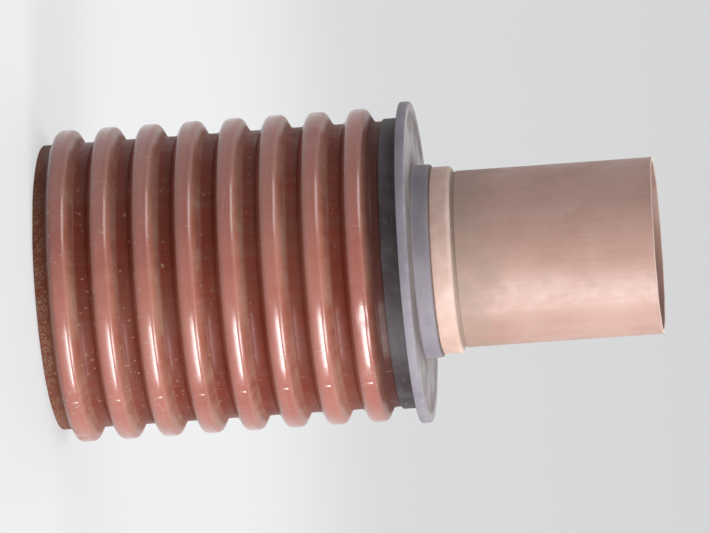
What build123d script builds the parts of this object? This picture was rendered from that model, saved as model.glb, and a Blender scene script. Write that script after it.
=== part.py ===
from build123d import *
from math import atan2, hypot, tan
import os

# A ribbed plastic drain riser that stands on its cut foot, with a seal collar on its
# upper end and a smooth neck pipe that hangs in the collar by a bead. Millimetres,
# +Z up, and the origin is the middle of the riser's foot.

# Riser: one corrugated wall, whose inside follows its outside
riser_bore = 315.0
riser_wall = 4.5
rib_depth = 15.5
rib_pitch = 47.5
rib_count = 8
rib_crest_width = 17.0
rib_flank_run = 7.75
rib_crest_rounding = 7.0
rib_valley_rounding = 6.0
foot_past_valley = 5.0
end_past_valley = 3.5
end_chamfer = 0.6

# Seal collar: a turned plate on a ring that stands on the riser's cut end, with a skirt
# inside the riser and a hub that holds the neck
collar_clearance = 0.75
collar_overhang = 4.75
collar_rim_wall = 4.0
collar_rim_height = 11.0
collar_rim_rounding = 2.5
collar_crown_width = 10.0
collar_crown_step = 1.5
collar_plate_thickness = 5.0
collar_dish_run = 3.0
collar_ring_height = 20.5
collar_ring_shoulder = 2.5
collar_skirt_wall = 4.0
collar_skirt_drop = 10.0
collar_hub_wall = 9.0
collar_hub_rise = 20.25
collar_hub_drop = 12.0
collar_hub_rounding = 3.0
collar_edge_rounding = 1.2

# Neck: smooth pipe with a moulded bead that rests on the collar's hub
neck_diameter = 200.0
neck_wall = 4.9
neck_length = 500.0
neck_above_collar = 250.0
neck_clearance = 0.5
bead_width = 6.0
bead_height = 23.5
bead_top_rounding = 5.0
bead_foot_rounding = 2.0
groove_depth = 1.2
groove_height = 4.0
spigot_chamfer_length = 10.0
spigot_chamfer_depth = 2.6
mouth_chamfer = 1.0

# Radii and heights worked out from the sizes above
valley_radius = riser_bore / 2 + riser_wall
crest_radius = valley_radius + rib_depth
riser_height = foot_past_valley + rib_count * rib_pitch + end_past_valley
rim_foot = riser_height + collar_ring_height
crown_top = rim_foot + collar_rim_height
plate_top = crown_top - collar_crown_step
neck_radius = neck_diameter / 2
hub_inner = neck_radius + neck_clearance
bead_seat = plate_top + collar_hub_rise


def wall_section(corners):
    """The closed section of a turned wall, from (radius, height, rounding) corners."""
    with BuildSketch(Plane.XZ) as section:
        with BuildLine():
            FilletPolyline(
                *[(radius, height) for radius, height, rounding in corners],
                radius=[rounding for radius, height, rounding in corners],
                close=True,
            )
        make_face()
    return section.sketch


# Riser pipe: its outer and inner lines are parallel ribbed lines, a wall apart
flank_lean = tan(atan2(rib_depth, rib_flank_run) / 2)
flank_length = hypot(rib_depth, rib_flank_run)
valley_width = rib_pitch - rib_crest_width - 2 * rib_flank_run


def rounding_within(rounding, *spans):
    """The rounding, or less where a straight span beside the corner is too short for it."""
    share = 0.45
    return min([rounding] + [share * span / flank_lean for span in spans])


def ribbed_line(valley, crest, crest_width, valley_rounding, crest_rounding):
    """Corners of a ribbed line, from the foot to the cut in the last valley."""
    corners = [(valley, 0, 0)]
    for rib in range(rib_count):
        middle = foot_past_valley + (rib + 0.5) * rib_pitch
        crest_edge = crest_width / 2
        flank_foot = crest_edge + rib_flank_run
        corners.append((valley, middle - flank_foot, valley_rounding))
        corners.append((crest, middle - crest_edge, crest_rounding))
        corners.append((crest, middle + crest_edge, crest_rounding))
        corners.append((valley, middle + flank_foot, valley_rounding))
    corners.append((valley, riser_height, 0))
    return corners


crest_rounding = rounding_within(rib_crest_rounding, rib_crest_width, flank_length)
valley_rounding = rounding_within(rib_valley_rounding, valley_width, flank_length)
outside = ribbed_line(
    valley_radius,
    crest_radius,
    rib_crest_width,
    valley_rounding,
    crest_rounding,
)
inside = ribbed_line(
    valley_radius - riser_wall,
    crest_radius - riser_wall,
    rib_crest_width - 2 * riser_wall * flank_lean,
    valley_rounding + riser_wall,
    max(crest_rounding - riser_wall, 0),
)
riser_section = wall_section(outside + inside[::-1])

with BuildPart() as riser_pipe:
    revolve(riser_section, axis=Axis.Z)
    chamfer(riser_pipe.faces().filter_by(GeomType.PLANE).edges(), end_chamfer)
riser_pipe.part.label = "riser_pipe"

# Seal collar: rim, crown, dished plate and hub, and under them the skirt, the seat on
# the riser's cut end, and the ring that carries the plate
rim_outer = crest_radius + collar_overhang
rim_inner = rim_outer - collar_rim_wall
crown_inner = rim_outer - collar_crown_width
hub_outer = hub_inner + collar_hub_wall
plate_foot = plate_top - collar_plate_thickness
hub_foot = plate_foot - collar_hub_drop
ring_outer = valley_radius + collar_ring_shoulder
skirt_outer = valley_radius - riser_wall - collar_clearance
skirt_inner = skirt_outer - collar_skirt_wall
skirt_foot = riser_height - collar_skirt_drop

collar_section = wall_section(
    [
        (rim_inner, rim_foot, collar_edge_rounding),
        (rim_outer, rim_foot, collar_edge_rounding),
        (rim_outer, crown_top, collar_rim_rounding),
        (crown_inner, crown_top, collar_rim_rounding),
        (crown_inner - collar_dish_run, plate_top, collar_rim_rounding),
        (hub_outer, plate_top, collar_hub_rounding),
        (hub_outer, bead_seat, collar_hub_rounding),
        (hub_inner, bead_seat, 0),
        (hub_inner, hub_foot, 0),
        (hub_outer, hub_foot, collar_edge_rounding),
        (hub_outer, plate_foot, collar_edge_rounding),
        (skirt_inner, plate_foot, collar_edge_rounding),
        (skirt_inner, skirt_foot, collar_edge_rounding),
        (skirt_outer, skirt_foot, collar_edge_rounding),
        (skirt_outer, riser_height, 0),
        (ring_outer, riser_height, collar_edge_rounding),
        (ring_outer, plate_foot, collar_edge_rounding),
        (rim_inner, plate_foot, collar_edge_rounding),
    ]
)

with BuildPart() as seal_collar:
    revolve(collar_section, axis=Axis.Z)
seal_collar.part.label = "seal_collar"

# Neck pipe: chamfered spigot below, then the bead, the groove above it and the pipe
neck_bore = neck_radius - neck_wall
neck_top = bead_seat + neck_above_collar
neck_foot = neck_top - neck_length
bead_radius = neck_radius + bead_width
bead_top = bead_seat + bead_height
groove_radius = neck_radius - groove_depth
groove_top = bead_top + groove_height

neck_section = wall_section(
    [
        (neck_bore, neck_foot, 0),
        (neck_radius - spigot_chamfer_depth, neck_foot, 0),
        (neck_radius, neck_foot + spigot_chamfer_length, 0),
        (neck_radius, bead_seat, 0),
        (bead_radius, bead_seat, bead_foot_rounding),
        (bead_radius, bead_top, bead_top_rounding),
        (groove_radius, bead_top, 0),
        (groove_radius, groove_top, 0),
        (neck_radius, groove_top, 0),
        (neck_radius, neck_top, 0),
        (neck_bore, neck_top, 0),
    ]
)

with BuildPart() as neck_pipe:
    revolve(neck_section, axis=Axis.Z)
    chamfer(neck_pipe.faces().sort_by(Axis.Z)[-1].edges(), mouth_chamfer)
neck_pipe.part.label = "neck_pipe"

os.makedirs("parts", exist_ok=True)
export_step(riser_pipe.part, "parts/riser_pipe.step")
export_step(seal_collar.part, "parts/seal_collar.step")
export_step(neck_pipe.part, "parts/neck_pipe.step")
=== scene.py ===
import math
import random

import bpy
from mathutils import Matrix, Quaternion, Vector, noise


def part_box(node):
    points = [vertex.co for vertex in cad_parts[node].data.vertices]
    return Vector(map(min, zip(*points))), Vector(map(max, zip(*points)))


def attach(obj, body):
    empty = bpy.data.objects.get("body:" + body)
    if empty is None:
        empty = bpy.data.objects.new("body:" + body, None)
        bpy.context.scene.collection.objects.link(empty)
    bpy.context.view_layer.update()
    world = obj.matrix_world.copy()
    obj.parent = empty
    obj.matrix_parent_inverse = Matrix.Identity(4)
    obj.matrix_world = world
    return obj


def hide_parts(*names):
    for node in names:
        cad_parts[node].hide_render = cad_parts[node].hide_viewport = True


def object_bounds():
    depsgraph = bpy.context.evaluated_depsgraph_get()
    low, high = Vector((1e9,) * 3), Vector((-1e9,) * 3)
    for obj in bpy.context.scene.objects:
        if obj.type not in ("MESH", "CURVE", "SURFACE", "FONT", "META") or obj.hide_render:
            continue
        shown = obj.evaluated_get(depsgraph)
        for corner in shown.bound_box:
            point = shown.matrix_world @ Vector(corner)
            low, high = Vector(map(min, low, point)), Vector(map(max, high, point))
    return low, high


# A ribbed drain riser stands on its end, with a grey seal collar on it and a smooth
# neck pipe through the collar. Metres, +Z up, as in the frame.
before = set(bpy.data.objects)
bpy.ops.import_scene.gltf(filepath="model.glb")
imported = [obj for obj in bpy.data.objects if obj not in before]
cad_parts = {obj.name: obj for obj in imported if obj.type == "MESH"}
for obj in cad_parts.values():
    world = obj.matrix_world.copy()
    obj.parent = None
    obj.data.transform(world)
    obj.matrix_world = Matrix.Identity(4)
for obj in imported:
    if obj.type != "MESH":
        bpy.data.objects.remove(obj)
cad_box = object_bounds()

MM = 0.001

# Sizes read from the frame
riser_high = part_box("riser_pipe")[1]
collar_low, collar_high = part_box("seal_collar")
neck_low, neck_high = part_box("neck_pipe")
crest_radius = riser_high.x
riser_height = riser_high.z
rim_outer = collar_high.x
bead_radius = neck_high.x
bead_seat = collar_high.z

# Riser walls, as the model has them
riser_wall = 4.5 * MM
rib_depth = 15.5 * MM
rib_pitch = 47.5 * MM
rib_count = 8
rib_crest_width = 17.0 * MM
rib_flank_run = 7.75 * MM
rib_crest_rounding = 7.0 * MM
rib_valley_rounding = 6.0 * MM
foot_past_valley = 5.0 * MM
end_chamfer = 0.6 * MM
valley_radius = crest_radius - rib_depth

# Collar section, as the model has it
collar_clearance = 0.75 * MM
collar_rim_wall = 4.0 * MM
collar_rim_height = 11.0 * MM
collar_rim_rounding = 2.5 * MM
collar_crown_width = 10.0 * MM
collar_crown_step = 1.5 * MM
collar_plate_thickness = 5.0 * MM
collar_dish_run = 3.0 * MM
collar_ring_height = 20.5 * MM
collar_ring_shoulder = 2.5 * MM
collar_skirt_wall = 4.0 * MM
collar_hub_wall = 9.0 * MM
collar_hub_drop = 12.0 * MM
collar_hub_rounding = 3.0 * MM
collar_edge_rounding = 1.2 * MM

# Neck section, as the model has it
neck_radius = 100.0 * MM
neck_wall = 4.9 * MM
neck_clearance = 0.5 * MM
bead_height = 23.5 * MM
bead_top_rounding = 5.0 * MM
bead_foot_rounding = 2.0 * MM
groove_depth = 1.2 * MM
groove_height = 4.0 * MM
spigot_chamfer_length = 10.0 * MM
spigot_chamfer_depth = 2.6 * MM
mouth_chamfer = 1.0 * MM

# Radii and heights worked out from the sizes above
rim_foot = riser_height + collar_ring_height
crown_top = rim_foot + collar_rim_height
crown_inner = rim_outer - collar_crown_width
plate_top = crown_top - collar_crown_step
hub_inner = neck_radius + neck_clearance
hub_outer = hub_inner + collar_hub_wall
bead_top = bead_seat + bead_height

# The mould halves of the riser meet along two lines, this far round from +X
seam_angles = (math.radians(-42), math.radians(138))
seam_width = 2.2 * MM
seam_height = 0.5 * MM

# Knocks in the ribs. A knock ends at knock_reach times its spread from its middle.
knock_seed = 11
knock_count = 16
knock_depths = (0.5 * MM, 1.7 * MM)
knock_spreads = (9 * MM, 22 * MM)
knock_off_crest = 6 * MM
knock_reach = 2.5

# Wobble and wear. Walls move inward, the collar's plate sags and sawn edges wear back.
riser_wobble = 0.5 * MM
lip_wobble = 0.3 * MM
plate_sag = 0.35 * MM
neck_wobble = 0.35 * MM
neck_stiff_length = 60 * MM
saw_wear = 0.7 * MM
saw_reach = 4.0 * MM

# An edge where the faces turn by more than this stays sharp
sharp_turn = math.radians(38)


def arc_points(before, corner, after, rounding, steps):
    """Points of the arc that rounds a corner between two straight runs."""
    to_before = (before - corner).normalized()
    to_after = (after - corner).normalized()
    half = to_before.angle(to_after) / 2
    start = corner + to_before * (rounding / math.tan(half))
    centre = corner + (to_before + to_after).normalized() * (rounding / math.sin(half))
    turn = math.pi - 2 * half
    spoke = start - centre
    if to_before.cross(to_after) < 0:
        turn = -turn
    points = []
    for step in range(steps + 1):
        angle = -turn * step / steps
        cos, sin = math.cos(angle), math.sin(angle)
        points.append(centre + Vector((spoke.x * cos - spoke.y * sin, spoke.x * sin + spoke.y * cos)))
    return points


def section_points(corners, arc_steps, longest):
    """Points of a closed section, whose corners are (radius, height, rounding). A corner with
    a rounding becomes an arc, and a run longer than the longest is divided."""
    rounded = []
    for index, (radius, height, rounding) in enumerate(corners):
        before = Vector(corners[index - 1][:2])
        after = Vector(corners[(index + 1) % len(corners)][:2])
        corner = Vector((radius, height))
        if rounding > 0:
            rounded += arc_points(before, corner, after, rounding, arc_steps)
        else:
            rounded.append(corner)
    points = []
    for index, point in enumerate(rounded):
        following = rounded[(index + 1) % len(rounded)]
        parts = max(1, math.ceil((following - point).length / longest))
        points += [point.lerp(following, part / parts) for part in range(parts)]
    return points


def no_relief(angle, radius, height):
    return 0, 0


def turned_object(name, points, angles, relief=no_relief, closed=True):
    """Turns a section about +Z. relief(angle, radius, height) gives a point's move outward and up."""
    vertices = []
    for angle in angles:
        cos, sin = math.cos(angle), math.sin(angle)
        for point in points:
            outward, upward = relief(angle, point.x, point.y)
            radius = point.x + outward
            vertices.append((radius * cos, radius * sin, point.y + upward))
    rows = len(points)
    faces = []
    for column in range(len(angles)):
        here = column * rows
        there = (column + 1) % len(angles) * rows
        for row in range(rows if closed else rows - 1):
            above = (row + 1) % rows
            faces.append((here + row, there + row, there + above, here + above))
    mesh = bpy.data.meshes.new(name)
    mesh.from_pydata(vertices, [], faces)
    mesh.validate()
    mesh.shade_smooth()
    mesh.set_sharp_from_angle(angle=sharp_turn)
    turned = bpy.data.objects.new(name, mesh)
    bpy.context.scene.collection.objects.link(turned)
    return turned


def even_angles(count):
    return [math.tau * index / count for index in range(count)]


def angle_between(one, other):
    return abs((one - other + math.pi) % math.tau - math.pi)


def with_seams(angles):
    """The angles, with narrow steps where the mould halves meet."""
    step = seam_width / 2 / crest_radius
    narrow = [(seam + offset * step) % math.tau for seam in seam_angles for offset in (-2, -1, 0, 1, 2)]
    wide = [angle for angle in angles if all(angle_between(angle, seam) > 3 * step for seam in seam_angles)]
    return sorted(wide + narrow)


def wave(angle, height, turns, per_metre, seed):
    """Smooth noise from 0 to 1 on the wall of a pipe, without a join where the angle wraps."""
    place = Vector((math.cos(angle) * turns, math.sin(angle) * turns, height * per_metre + seed))
    return min(max(0.5 + 0.5 * noise.noise(place), 0), 1)


def saw_cut(angle, distance, seed):
    """How far a sawn edge has worn back, fading with the distance from the cut."""
    fade = max(0, 1 - distance / saw_reach)
    return saw_wear * fade * wave(angle, 0, turns=3.5, per_metre=0, seed=seed)


def make_knocks(random_draws):
    """Places on the crests where the wall has been pushed in: angle, height, depth and spread."""
    places = []
    for _ in range(knock_count):
        angle = random_draws.uniform(0, math.tau)
        rib = random_draws.randrange(rib_count)
        crest_middle = foot_past_valley + (rib + 0.5) * rib_pitch
        height = crest_middle + random_draws.uniform(-knock_off_crest, knock_off_crest)
        depth = random_draws.uniform(*knock_depths)
        spread = random_draws.uniform(*knock_spreads)
        places.append((angle, height, depth, spread))
    return places


knocks = make_knocks(random.Random(knock_seed))


def riser_relief(angle, radius, height):
    outward = -riser_wobble * wave(angle, height, turns=1.6, per_metre=5, seed=3)
    for knock_angle, knock_height, depth, spread in knocks:
        across = angle_between(angle, knock_angle) * radius
        along = height - knock_height
        if across < knock_reach * spread and abs(along) < knock_reach * spread:
            outward -= depth * math.exp(-(across * across + along * along) / (spread * spread))
    for seam in seam_angles:
        across = angle_between(angle, seam) * radius / seam_width
        outward += seam_height * max(0, 1 - across * across)
    return outward, saw_cut(angle, height, seed=20)


def collar_relief(angle, radius, height):
    """The lip wobbles and the plate sags. The hub above the plate, and all that lies below
    the rim, stay at the model's height."""
    lip = max(0, (radius - crown_inner) / collar_crown_width)
    outward = -lip_wobble * lip * wave(angle, height, turns=2.4, per_metre=0, seed=41)
    held = height > plate_top + collar_hub_rounding or height < rim_foot - 1 * MM
    upward = 0 if held else -plate_sag * wave(angle, 0, turns=2.0, per_metre=0, seed=47)
    return outward, upward


def neck_relief(angle, radius, height):
    free = min(max((height - bead_top) / neck_stiff_length, 0), 1)
    outward = -neck_wobble * free * wave(angle, height, turns=1.2, per_metre=2, seed=61)
    return outward, -saw_cut(angle, neck_high.z - height, seed=67)


def ribbed_line(valley, crest, crest_width, valley_rounding, crest_rounding):
    """Corners of a ribbed line, from the foot to the cut in the last valley."""
    corners = [(valley, 0, 0)]
    for rib in range(rib_count):
        middle = foot_past_valley + (rib + 0.5) * rib_pitch
        crest_edge = crest_width / 2
        flank_foot = crest_edge + rib_flank_run
        corners.append((valley, middle - flank_foot, valley_rounding))
        corners.append((crest, middle - crest_edge, crest_rounding))
        corners.append((crest, middle + crest_edge, crest_rounding))
        corners.append((valley, middle + flank_foot, valley_rounding))
    corners.append((valley, riser_height, 0))
    return corners


def make_riser():
    """The riser's wall. Its inside is the outside moved in, so the inner crests are narrower."""
    lean = math.tan(math.atan2(rib_depth, rib_flank_run) / 2)
    outside = ribbed_line(
        valley_radius,
        crest_radius,
        rib_crest_width,
        rib_valley_rounding,
        rib_crest_rounding,
    )
    inside = ribbed_line(
        valley_radius - riser_wall,
        crest_radius - riser_wall,
        rib_crest_width - 2 * riser_wall * lean,
        rib_valley_rounding + riser_wall,
        rib_crest_rounding - riser_wall,
    )
    foot_corners = [(valley_radius - end_chamfer, 0, 0), (valley_radius, end_chamfer, 0)]
    corners = foot_corners + outside[1:] + inside[::-1]
    section = section_points(corners, arc_steps=3, longest=13 * MM)
    angles = with_seams(even_angles(count=300))
    return turned_object("riser_shell", section, angles, riser_relief)


def make_collar():
    rim_inner = rim_outer - collar_rim_wall
    plate_foot = plate_top - collar_plate_thickness
    hub_foot = plate_foot - collar_hub_drop
    ring_outer = valley_radius + collar_ring_shoulder
    skirt_outer = valley_radius - riser_wall - collar_clearance
    skirt_inner = skirt_outer - collar_skirt_wall
    skirt_foot = collar_low.z
    corners = [
        (rim_inner, rim_foot, collar_edge_rounding),
        (rim_outer, rim_foot, collar_edge_rounding),
        (rim_outer, crown_top, collar_rim_rounding),
        (crown_inner, crown_top, collar_rim_rounding),
        (crown_inner - collar_dish_run, plate_top, collar_rim_rounding),
        (hub_outer, plate_top, collar_hub_rounding),
        (hub_outer, bead_seat, collar_hub_rounding),
        (hub_inner, bead_seat, 0),
        (hub_inner, hub_foot, 0),
        (hub_outer, hub_foot, collar_edge_rounding),
        (hub_outer, plate_foot, collar_edge_rounding),
        (skirt_inner, plate_foot, collar_edge_rounding),
        (skirt_inner, skirt_foot, collar_edge_rounding),
        (skirt_outer, skirt_foot, collar_edge_rounding),
        (skirt_outer, riser_height, 0),
        (ring_outer, riser_height, collar_edge_rounding),
        (ring_outer, plate_foot, collar_edge_rounding),
        (rim_inner, plate_foot, collar_edge_rounding),
    ]
    section = section_points(corners, arc_steps=5, longest=6 * MM)
    return turned_object("collar_ring", section, even_angles(count=288), collar_relief)


def make_neck():
    neck_bore = neck_radius - neck_wall
    groove_radius = neck_radius - groove_depth
    groove_top = bead_top + groove_height
    corners = [
        (neck_bore, neck_low.z, 0),
        (neck_radius - spigot_chamfer_depth, neck_low.z, 0),
        (neck_radius, neck_low.z + spigot_chamfer_length, 0),
        (neck_radius, bead_seat, 0),
        (bead_radius, bead_seat, bead_foot_rounding),
        (bead_radius, bead_top, bead_top_rounding),
        (groove_radius, bead_top, 0),
        (groove_radius, groove_top, 0),
        (neck_radius, groove_top, 0),
        (neck_radius, neck_high.z - mouth_chamfer, 0),
        (neck_radius - mouth_chamfer, neck_high.z, 0),
        (neck_bore + mouth_chamfer, neck_high.z, 0),
        (neck_bore, neck_high.z - mouth_chamfer, 0),
    ]
    section = section_points(corners, arc_steps=5, longest=8 * MM)
    return turned_object("neck_shell", section, even_angles(count=256), neck_relief)


class Nodes:
    """One material's nodes. A call that makes a node gives back its output."""

    # Sockets of a Mix node that mixes colours
    mix_factor = 0
    mix_under = 6
    mix_over = 7
    mix_result = 2

    def __init__(self, name):
        self.material = bpy.data.materials.new(name)
        self.material.use_nodes = True
        self.tree = self.material.node_tree
        self.shader = self.tree.nodes["Principled BSDF"]

    def feed(self, socket, value):
        """Links an output to an input, or sets a plain value on it."""
        if isinstance(value, bpy.types.NodeSocket):
            self.tree.links.new(value, socket)
        else:
            socket.default_value = value

    def math(self, operation, *values):
        node = self.tree.nodes.new("ShaderNodeMath")
        node.operation = operation
        for socket, value in zip(node.inputs, values):
            self.feed(socket, value)
        return node.outputs[0]

    def product(self, *values):
        result = values[0]
        for value in values[1:]:
            result = self.math("MULTIPLY", result, value)
        return result

    def total(self, *values):
        result = values[0]
        for value in values[1:]:
            result = self.math("ADD", result, value)
        return result

    def mix(self, factor, under, over):
        node = self.tree.nodes.new("ShaderNodeMix")
        node.data_type = "RGBA"
        self.feed(node.inputs[self.mix_factor], factor)
        for index, colour in ((self.mix_under, under), (self.mix_over, over)):
            linked = isinstance(colour, bpy.types.NodeSocket)
            self.feed(node.inputs[index], colour if linked else (*colour, 1))
        return node.outputs[self.mix_result]


class Surface(Nodes):
    """The nodes of a turned piece's material, which know where on the pipe a point lies."""

    def __init__(self, name):
        super().__init__(name)
        coordinates = self.tree.nodes.new("ShaderNodeTexCoord")
        self.place = coordinates.outputs["Object"]
        parts = self.tree.nodes.new("ShaderNodeSeparateXYZ")
        self.feed(parts.inputs[0], self.place)
        x, y, self.height = parts.outputs
        self.radius = self.math("SQRT", self.total(self.product(x, x), self.product(y, y)))
        spoke_x = self.math("DIVIDE", x, self.radius)
        spoke_y = self.math("DIVIDE", y, self.radius)
        self.spoke = self.combine(spoke_x, spoke_y, 0.0)

        # How far the surface faces up, and how far away from the axis, from -1 to 1
        normal = coordinates.outputs["Normal"]
        facing = self.tree.nodes.new("ShaderNodeSeparateXYZ")
        self.feed(facing.inputs[0], normal)
        self.upward = facing.outputs[2]
        dot = self.tree.nodes.new("ShaderNodeVectorMath")
        dot.operation = "DOT_PRODUCT"
        self.feed(dot.inputs[0], normal)
        self.feed(dot.inputs[1], self.spoke)
        self.outward = dot.outputs["Value"]

    def combine(self, x, y, z):
        node = self.tree.nodes.new("ShaderNodeCombineXYZ")
        for socket, value in zip(node.inputs, (x, y, z)):
            self.feed(socket, value)
        return node.outputs[0]

    def between(self, value, low, high, at_low=0.0, at_high=1.0):
        """A smooth step from at_low to at_high as the value goes from low to high."""
        node = self.tree.nodes.new("ShaderNodeMapRange")
        node.interpolation_type = "SMOOTHSTEP"
        for socket, number in zip(node.inputs, (value, low, high, at_low, at_high)):
            self.feed(socket, number)
        return node.outputs[0]

    def noise(self, scale, detail, roughness=0.55, vector=None, distortion=0.0):
        node = self.tree.nodes.new("ShaderNodeTexNoise")
        self.feed(node.inputs["Vector"], vector or self.place)
        node.inputs["Scale"].default_value = scale
        node.inputs["Detail"].default_value = detail
        node.inputs["Roughness"].default_value = roughness
        node.inputs["Distortion"].default_value = distortion
        return node.outputs[0]

    def wall_noise(self, turns, per_metre, detail, roughness=0.6, distortion=0.0):
        """Noise on the pipe's wall without a join, with its own scale round it and along it."""
        node = self.tree.nodes.new("ShaderNodeVectorMath")
        node.operation = "MULTIPLY_ADD"
        self.feed(node.inputs[0], self.spoke)
        node.inputs[1].default_value = (turns, turns, 0)
        self.feed(node.inputs[2], self.combine(0.0, 0.0, self.product(self.height, per_metre)))
        return self.noise(1, detail, roughness, node.outputs[0], distortion)

    def scratches(self, turns, per_metre, distortion, threshold):
        """Thin lines on the pipe's wall, where fine noise rises above the threshold."""
        soft_edge = 0.04
        grain = self.wall_noise(turns, per_metre, detail=2, roughness=0.5, distortion=distortion)
        return self.between(grain, threshold, threshold + soft_edge)

    def bump(self, height, distance, strength, normal=None):
        node = self.tree.nodes.new("ShaderNodeBump")
        self.feed(node.inputs["Height"], height)
        node.inputs["Distance"].default_value = distance
        node.inputs["Strength"].default_value = strength
        if normal:
            self.feed(node.inputs["Normal"], normal)
        return node.outputs[0]

    def finish(self, colour, roughness, normal):
        self.feed(self.shader.inputs["Base Color"], colour)
        self.feed(self.shader.inputs["Roughness"], roughness)
        self.feed(self.shader.inputs["Normal"], normal)
        return self.material


def riser_plastic():
    """Glossy brick red. The ribs are bleached, with dust on their upper flanks. Grime lies
    between them, and soil is splashed on the foot. Painted shade darkens the valleys, the
    undersides of the ribs and the wall under the collar."""
    deep_red = (0.25, 0.05, 0.03)
    brick_red = (0.33, 0.08, 0.05)
    streak_red = (0.365, 0.118, 0.084)
    bleached_red = (0.345, 0.1, 0.072)
    valley_shade_red = (0.155, 0.018, 0.008)
    grime_brown = (0.12, 0.03, 0.017)
    under_rib_shade_red = (0.15, 0.032, 0.017)
    dust_tan = (0.4, 0.25, 0.185)
    film_tan = (0.34, 0.22, 0.17)
    soil_brown = (0.3, 0.2, 0.13)
    speck_tan = (0.36, 0.24, 0.17)
    shaded_brown = (0.05, 0.016, 0.012)
    scratch_pink = (0.55, 0.33, 0.28)
    inside_brown = (0.14, 0.045, 0.03)

    skin = Surface("riser_plastic")
    outside = skin.between(skin.outward, -0.12, 0.12)
    ledge = skin.product(skin.between(skin.upward, 0.1, 0.85), outside)
    under_rib = skin.between(skin.upward, -0.1, -0.9)
    valley = skin.between(skin.radius, valley_radius + 0.5 * MM, crest_radius - 4 * MM, 1.0, 0.0)
    near_crest = skin.between(skin.radius, crest_radius - 3 * MM, crest_radius - 0.4 * MM)
    crest = skin.product(near_crest, outside)
    blotches = skin.noise(scale=7, detail=4)
    patches = skin.noise(scale=22, detail=5, roughness=0.6)
    grains = skin.noise(scale=420, detail=2, roughness=0.7)
    round_streaks = skin.wall_noise(turns=7, per_metre=420, detail=4)
    drips = skin.wall_noise(turns=17, per_metre=5, detail=4)

    colour = skin.mix(skin.between(blotches, 0.35, 0.68), deep_red, brick_red)
    colour = skin.mix(skin.between(round_streaks, 0.4, 0.75, 0.0, 0.3), colour, streak_red)
    bleached = skin.product(crest, skin.between(patches, 0.3, 0.7, 0.25, 0.75))
    colour = skin.mix(bleached, colour, bleached_red)
    # The valleys are darker: partly their own unbleached red, partly painted shade
    colour = skin.mix(skin.product(valley, 0.88), colour, valley_shade_red)
    run_down = skin.total(patches, skin.product(drips, 0.5))
    grime = skin.product(valley, skin.between(run_down, 0.5, 0.95, 0.05, 0.6))
    colour = skin.mix(grime, colour, grime_brown)
    # Painted shade on the undersides of the ribs
    colour = skin.mix(skin.product(under_rib, 0.4), colour, under_rib_shade_red)
    settled = skin.total(patches, skin.product(drips, 0.3))
    dust = skin.product(ledge, skin.between(settled, 0.4, 0.9, 0.12, 0.5))
    colour = skin.mix(dust, colour, dust_tan)
    film = skin.between(skin.total(blotches, skin.product(drips, 0.5)), 0.6, 1.05, 0.0, 0.16)
    colour = skin.mix(film, colour, film_tan)

    # Soil splashed up from the ground, specks that get fewer higher up, and painted shade under the collar
    splashes = skin.noise(scale=38, detail=5, roughness=0.65)
    splash_height = skin.total(skin.height, skin.product(splashes, -90 * MM), 45 * MM)
    near_ground = skin.between(splash_height, 0.0, 26 * MM, 0.65, 0.0)
    soil = skin.product(near_ground, skin.between(grains, 0.4, 0.62))
    colour = skin.mix(soil, colour, soil_brown)
    speck_noise = skin.noise(scale=170, detail=2, roughness=0.5)
    fewer_above = skin.between(skin.height, 50 * MM, 300 * MM, 0.7, 0.2)
    specks = skin.product(skin.between(speck_noise, 0.66, 0.71), fewer_above)
    colour = skin.mix(specks, colour, speck_tan)
    under_collar = skin.between(skin.height, riser_height - 23 * MM, riser_height - 9 * MM)
    colour = skin.mix(skin.product(under_collar, outside, 0.85), colour, shaded_brown)

    scratch_round = skin.scratches(turns=5, per_metre=1500, distortion=0.4, threshold=0.67)
    scratch_along = skin.scratches(turns=230, per_metre=11, distortion=0.6, threshold=0.69)
    more_on_crests = skin.total(0.15, skin.product(crest, 0.5))
    scratched = skin.math("MAXIMUM", scratch_round, scratch_along)
    scratched = skin.product(scratched, skin.between(patches, 0.42, 0.62), more_on_crests)
    colour = skin.mix(scratched, colour, scratch_pink)
    colour = skin.mix(skin.product(skin.between(outside, 0.9, 0.1), 0.5), colour, inside_brown)

    dull = skin.total(
        skin.product(dust, 0.6),
        skin.product(grime, 0.35),
        skin.product(soil, 0.6),
        skin.product(film, 0.6),
    )
    clean_roughness = skin.between(skin.noise(scale=60, detail=4), 0.3, 0.7, 0.24, 0.34)
    roughness = skin.total(clean_roughness, skin.math("MINIMUM", dull, 0.4))
    waves = skin.bump(skin.noise(scale=26, detail=2), distance=0.9 * MM, strength=0.5)
    relief = skin.total(grains, skin.product(scratched, -0.5))
    peel = skin.bump(relief, distance=0.06 * MM, strength=0.6, normal=waves)
    dirt = skin.total(soil, skin.product(specks, 0.6))
    crust = skin.bump(dirt, distance=0.5 * MM, strength=0.8, normal=peel)

    # The gloss is a coat, which is weaker in the valleys and under dirt
    out_of_valleys = skin.between(valley, 0.1, 0.9, 1.0, 0.08)
    polished = skin.product(out_of_valleys, skin.between(dull, 0.0, 0.5, 1.0, 0.3))
    skin.shader.inputs["Specular IOR Level"].default_value = 0.1
    skin.feed(skin.shader.inputs["Coat Weight"], polished)
    skin.shader.inputs["Coat Roughness"].default_value = 0.22
    skin.shader.inputs["Coat IOR"].default_value = 1.75
    skin.feed(skin.shader.inputs["Coat Normal"], peel)
    return skin.finish(colour, roughness, crust)


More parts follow.
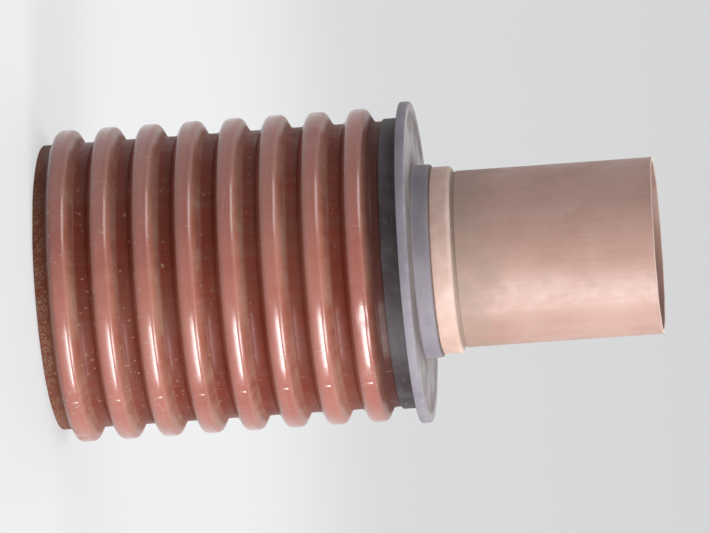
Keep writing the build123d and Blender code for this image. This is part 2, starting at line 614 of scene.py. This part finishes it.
def collar_plastic():
    """Matt grey, with soil in the dish, dust on top and pale scuffs along the rim.
    Painted shade darkens the ring below the rim, the dish and the top faces.
    """
    slate_grey = (0.21, 0.186, 0.216)
    pale_grey = (0.265, 0.24, 0.272)
    ring_grey = (0.25, 0.24, 0.255)
    shaded_grey = (0.033, 0.021, 0.021)
    top_shade_grey = (0.11, 0.094, 0.106)
    dish_shade_grey = (0.09, 0.077, 0.085)
    soil_brown = (0.15, 0.112, 0.088)
    dust_grey = (0.25, 0.215, 0.2)
    scuff_grey = (0.36, 0.345, 0.365)
    scratch_grey = (0.4, 0.385, 0.4)
    top_scratch_grey = (0.36, 0.34, 0.355)
    ring_scale = 640.0

    skin = Surface("collar_plastic")
    top = skin.between(skin.upward, 0.3, 0.9)
    upright = skin.between(skin.upward, 0.6, 0.2)
    within_crown = skin.between(skin.radius, crown_inner + 1 * MM, crown_inner - 5 * MM)
    in_dish = skin.product(top, within_crown)
    rim_corner = skin.product(
        skin.between(skin.radius, rim_outer - 3.5 * MM, rim_outer - 0.5 * MM),
        skin.between(skin.height, rim_foot + 3 * MM, rim_foot + 9 * MM),
    )
    near_hub = skin.between(skin.radius, hub_outer + 22 * MM, hub_outer + 1 * MM)
    near_crown = skin.between(skin.radius, crown_inner - 16 * MM, crown_inner - 3 * MM)
    patches = skin.noise(scale=24, detail=5, roughness=0.62)
    clouds = skin.noise(scale=9, detail=4)
    grains = skin.noise(scale=520, detail=2, roughness=0.7)
    across_rings = skin.combine(skin.product(skin.radius, ring_scale), 0.0, 0.0)
    rings = skin.noise(scale=1, detail=3, roughness=0.6, vector=across_rings)
    smears = skin.wall_noise(turns=16, per_metre=70, detail=4)

    colour = skin.mix(skin.between(patches, 0.3, 0.7), slate_grey, pale_grey)
    colour = skin.mix(skin.between(rings, 0.35, 0.7, 0.0, 0.22), colour, ring_grey)
    # Painted shade in the ring under the rim, patchy
    below_rim = skin.product(
        skin.between(skin.radius, rim_outer - 4 * MM, rim_outer - 10 * MM),
        skin.between(skin.height, rim_foot + 5 * MM, rim_foot),
        skin.between(patches, 0.3, 0.7, 0.97, 0.75),
    )
    colour = skin.mix(below_rim, colour, shaded_grey)
    # Painted shade on the top faces
    colour = skin.mix(skin.product(top, 0.5), colour, top_shade_grey)
    # Painted shade in the dish
    colour = skin.mix(skin.product(in_dish, 0.6), colour, dish_shade_grey)
    in_corners = skin.product(skin.math("MAXIMUM", near_hub, near_crown), 0.45)
    settled = skin.total(skin.between(patches, 0.42, 0.7, 0.05, 0.6), in_corners)
    soil = skin.product(in_dish, settled, skin.between(grains, 0.25, 0.55, 0.55, 1.0))
    colour = skin.mix(soil, colour, soil_brown)
    drifts = skin.total(patches, skin.product(clouds, 0.5))
    dust = skin.product(top, skin.between(drifts, 0.5, 0.95, 0.05, 0.4))
    colour = skin.mix(dust, colour, dust_grey)

    rubbed = skin.between(skin.noise(scale=55, detail=5, roughness=0.7), 0.3, 0.7)
    scuffs = skin.product(rim_corner, skin.between(smears, 0.35, 0.7), rubbed)
    colour = skin.mix(skin.product(scuffs, 0.6), colour, scuff_grey)
    wall_scratches = skin.scratches(turns=9, per_metre=1300, distortion=0.5, threshold=0.68)
    colour = skin.mix(skin.product(wall_scratches, upright, 0.35), colour, scratch_grey)
    curls = skin.noise(scale=60, detail=2, roughness=0.5, distortion=6.0)
    top_scratches = skin.product(skin.between(curls, 0.7, 0.73), top)
    colour = skin.mix(skin.product(top_scratches, 0.3), colour, top_scratch_grey)

    roughness = skin.total(
        skin.between(patches, 0.3, 0.7, 0.44, 0.56),
        skin.product(soil, 0.3),
        skin.product(dust, 0.3),
    )
    waves = skin.bump(skin.noise(scale=30, detail=2), distance=0.6 * MM, strength=0.4)
    relief = skin.total(grains, skin.product(rings, 0.6), skin.product(scuffs, 0.8))
    fine = skin.bump(relief, distance=0.08 * MM, strength=0.7, normal=waves)
    crust = skin.bump(soil, distance=0.5 * MM, strength=0.7, normal=fine)
    skin.shader.inputs["Specular IOR Level"].default_value = 0.22
    return skin.finish(colour, roughness, crust)


def neck_plastic():
    """Faded salmon with faint streaks along the pipe, dirt, dust, scratches and a paler bead.
    Painted shade darkens the groove above the bead, and the inside is darker.
    """
    salmon = (0.375, 0.212, 0.172)
    faded_salmon = (0.44, 0.275, 0.228)
    streak_pink = (0.49, 0.34, 0.29)
    fine_streak_red = (0.34, 0.185, 0.15)
    bead_pink = (0.57, 0.375, 0.31)
    pale_bead_pink = (0.7, 0.5, 0.43)
    groove_shade_brown = (0.2, 0.12, 0.095)
    dirt_brown = (0.285, 0.225, 0.18)
    dust_tan = (0.45, 0.37, 0.31)
    scratch_pink = (0.62, 0.49, 0.44)
    inside_brown = (0.22, 0.13, 0.1)

    skin = Surface("neck_plastic")
    outside = skin.between(skin.outward, -0.3, 0.1)
    inside = skin.between(skin.outward, -0.2, -0.7)
    top = skin.between(skin.upward, 0.3, 0.9)
    bead = skin.between(skin.radius, neck_radius + 1.5 * MM, neck_radius + 4 * MM)
    off_bead = skin.between(bead, 0.0, 1.0, 1.0, 0.3)
    groove = skin.product(
        skin.between(skin.height, bead_top - 1 * MM, bead_top + 0.5 * MM),
        skin.between(skin.height, bead_top + groove_height + 1.5 * MM, bead_top + groove_height),
        outside,
    )
    blotches = skin.noise(scale=9, detail=4, roughness=0.6)
    patches = skin.noise(scale=34, detail=5, roughness=0.62)
    grains = skin.noise(scale=600, detail=2, roughness=0.7)
    streaks = skin.wall_noise(turns=34, per_metre=2.2, detail=4)
    fine_streaks = skin.wall_noise(turns=150, per_metre=4, detail=3)

    colour = skin.mix(skin.between(blotches, 0.35, 0.68), salmon, faded_salmon)
    colour = skin.mix(skin.between(streaks, 0.3, 0.75, 0.0, 0.2), colour, streak_pink)
    colour = skin.mix(skin.between(fine_streaks, 0.45, 0.75, 0.0, 0.07), colour, fine_streak_red)
    bead_colour = skin.mix(skin.between(patches, 0.32, 0.68), bead_pink, pale_bead_pink)
    colour = skin.mix(skin.product(bead, 0.9), colour, bead_colour)
    # Painted shade in the groove above the bead
    colour = skin.mix(skin.product(groove, 0.55), colour, groove_shade_brown)
    more_below = skin.between(skin.height, bead_top + 75 * MM, bead_top, 0.0, 0.4)
    splashed = skin.between(skin.total(patches, more_below), 0.52, 0.9, 0.0, 0.55)
    dirt = skin.product(splashed, outside, off_bead)
    colour = skin.mix(dirt, colour, dirt_brown)
    dust = skin.product(top, skin.between(patches, 0.3, 0.65, 0.35, 0.8))
    colour = skin.mix(dust, colour, dust_tan)
    scratch_along = skin.scratches(turns=210, per_metre=9, distortion=0.5, threshold=0.68)
    scratch_round = skin.scratches(turns=4, per_metre=1100, distortion=0.4, threshold=0.69)
    scratched = skin.math("MAXIMUM", scratch_along, scratch_round)
    scratched = skin.product(scratched, skin.between(blotches, 0.4, 0.6))
    colour = skin.mix(skin.product(scratched, 0.5), colour, scratch_pink)
    # The inside is darker, more so in some patches
    darker_inside = skin.product(inside, skin.between(patches, 0.3, 0.7, 0.35, 0.65))
    colour = skin.mix(darker_inside, colour, inside_brown)

    roughness = skin.total(
        skin.between(skin.noise(scale=70, detail=4), 0.3, 0.7, 0.36, 0.46),
        skin.product(dirt, 0.4),
        skin.product(dust, 0.3),
        skin.product(scratched, 0.2),
    )
    long_waves = skin.wall_noise(turns=7, per_metre=4, detail=2, roughness=0.5)
    waves = skin.bump(long_waves, distance=0.4 * MM, strength=0.3)
    relief = skin.total(grains, skin.product(fine_streaks, 0.5), skin.product(scratched, -0.8))
    fine = skin.bump(relief, distance=0.05 * MM, strength=0.5, normal=waves)
    return skin.finish(colour, roughness, fine)


for piece, node, slot, material in (
    (make_riser(), "riser_pipe", "riser_plastic", riser_plastic()),
    (make_collar(), "seal_collar", "collar_plastic", collar_plastic()),
    (make_neck(), "neck_pipe", "neck_plastic", neck_plastic()),
):
    piece.data.materials.append(material)
    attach(piece, "root")
    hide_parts(node)


# Stage: a round seamless backdrop, flat in the middle and rising at its edge. What is
# seen of it is pale, and the light that it throws back on the object is dimmer.
stage_radius = 24.0
stage_curve = 6.0
stage_height = 12.0
stage_seen = 0.21
stage_glow = 0.56
stage_thrown_back = 0.3


def stage_material():
    backdrop = Nodes("stage")
    path = backdrop.tree.nodes.new("ShaderNodeLightPath")
    seen = path.outputs["Is Camera Ray"]
    for name in ("Is Glossy Ray", "Is Transmission Ray"):
        seen = backdrop.math("MAXIMUM", seen, path.outputs[name])
    grey = backdrop.mix(seen, [stage_thrown_back] * 3, [stage_seen] * 3)
    glow = backdrop.product(seen, stage_glow)
    backdrop.feed(backdrop.shader.inputs["Base Color"], grey)
    backdrop.feed(backdrop.shader.inputs["Emission Strength"], glow)
    backdrop.shader.inputs["Emission Color"].default_value = (1, 1, 1, 1)
    backdrop.shader.inputs["Roughness"].default_value = 0.9
    backdrop.shader.inputs["Specular IOR Level"].default_value = 0.1
    return backdrop.material


def make_stage():
    flat = stage_radius - stage_curve
    outline = [Vector((0.0, 0.0)), Vector((flat, 0.0))]
    steps = 16
    for step in range(1, steps + 1):
        angle = math.pi / 2 * step / steps
        outward = flat + stage_curve * math.sin(angle)
        outline.append(Vector((outward, stage_curve * (1 - math.cos(angle)))))
    outline.append(Vector((stage_radius, stage_height)))
    stage = turned_object("stage", outline, even_angles(count=96), closed=False)
    stage.data.materials.append(stage_material())


make_stage()

# Lamps and camera all look at the middle of the object
aim = (cad_box[0] + cad_box[1]) / 2


def look_from(thing, azimuth, elevation, distance):
    """Places a lamp or the camera. Azimuth is counted in degrees from the front towards +X."""
    turn, rise = math.radians(azimuth), math.radians(elevation)
    level = math.cos(rise)
    back = Vector((math.sin(turn) * level, -math.cos(turn) * level, math.sin(rise)))
    thing.location = aim + back * distance
    thing.rotation_mode = "QUATERNION"
    thing.rotation_quaternion = (-back).to_track_quat("-Z", "Y")
    bpy.context.scene.collection.objects.link(thing)


def area_light(name, azimuth, elevation, distance, width, height, power):
    lamp = bpy.data.lights.new(name, "AREA")
    lamp.energy = power
    lamp.shape = "RECTANGLE"
    lamp.size = width
    lamp.size_y = height
    light = bpy.data.objects.new(name, lamp)
    light.visible_camera = False
    look_from(light, azimuth, elevation, distance)


area_light("strip", azimuth=55, elevation=3.8, distance=7.0, width=6.0, height=1.5, power=470)
area_light("key", azimuth=58, elevation=42, distance=2.8, width=1.1, height=1.3, power=43)
area_light("fill", azimuth=-55, elevation=35, distance=3.2, width=2.2, height=1.6, power=34)
area_light("back", azimuth=178, elevation=38, distance=3.0, width=1.3, height=0.8, power=38)

world_colour = (0.93, 0.95, 1.0, 1)
world_strength = 0.72
world = bpy.data.worlds.new("studio")
bpy.context.scene.world = world
world.use_nodes = True
background = world.node_tree.nodes["Background"]
background.inputs["Color"].default_value = world_colour
background.inputs["Strength"].default_value = world_strength

# Camera: the photograph is stored on its side, so the camera is rolled to match it
camera_elevation = 5.2
camera_distance = 7.3
camera_lens = 327
camera_sensor = 36
camera_tilt = 4.0
camera = bpy.data.objects.new("camera", bpy.data.cameras.new("camera"))
camera.data.lens = camera_lens
camera.data.sensor_width = camera_sensor
look_from(camera, azimuth=0, elevation=camera_elevation, distance=camera_distance)
roll = Quaternion((0, 0, 1), math.radians(90 - camera_tilt))
camera.rotation_quaternion = camera.rotation_quaternion @ roll
bpy.context.scene.camera = camera

bpy.context.scene.view_settings.view_transform = "Standard"
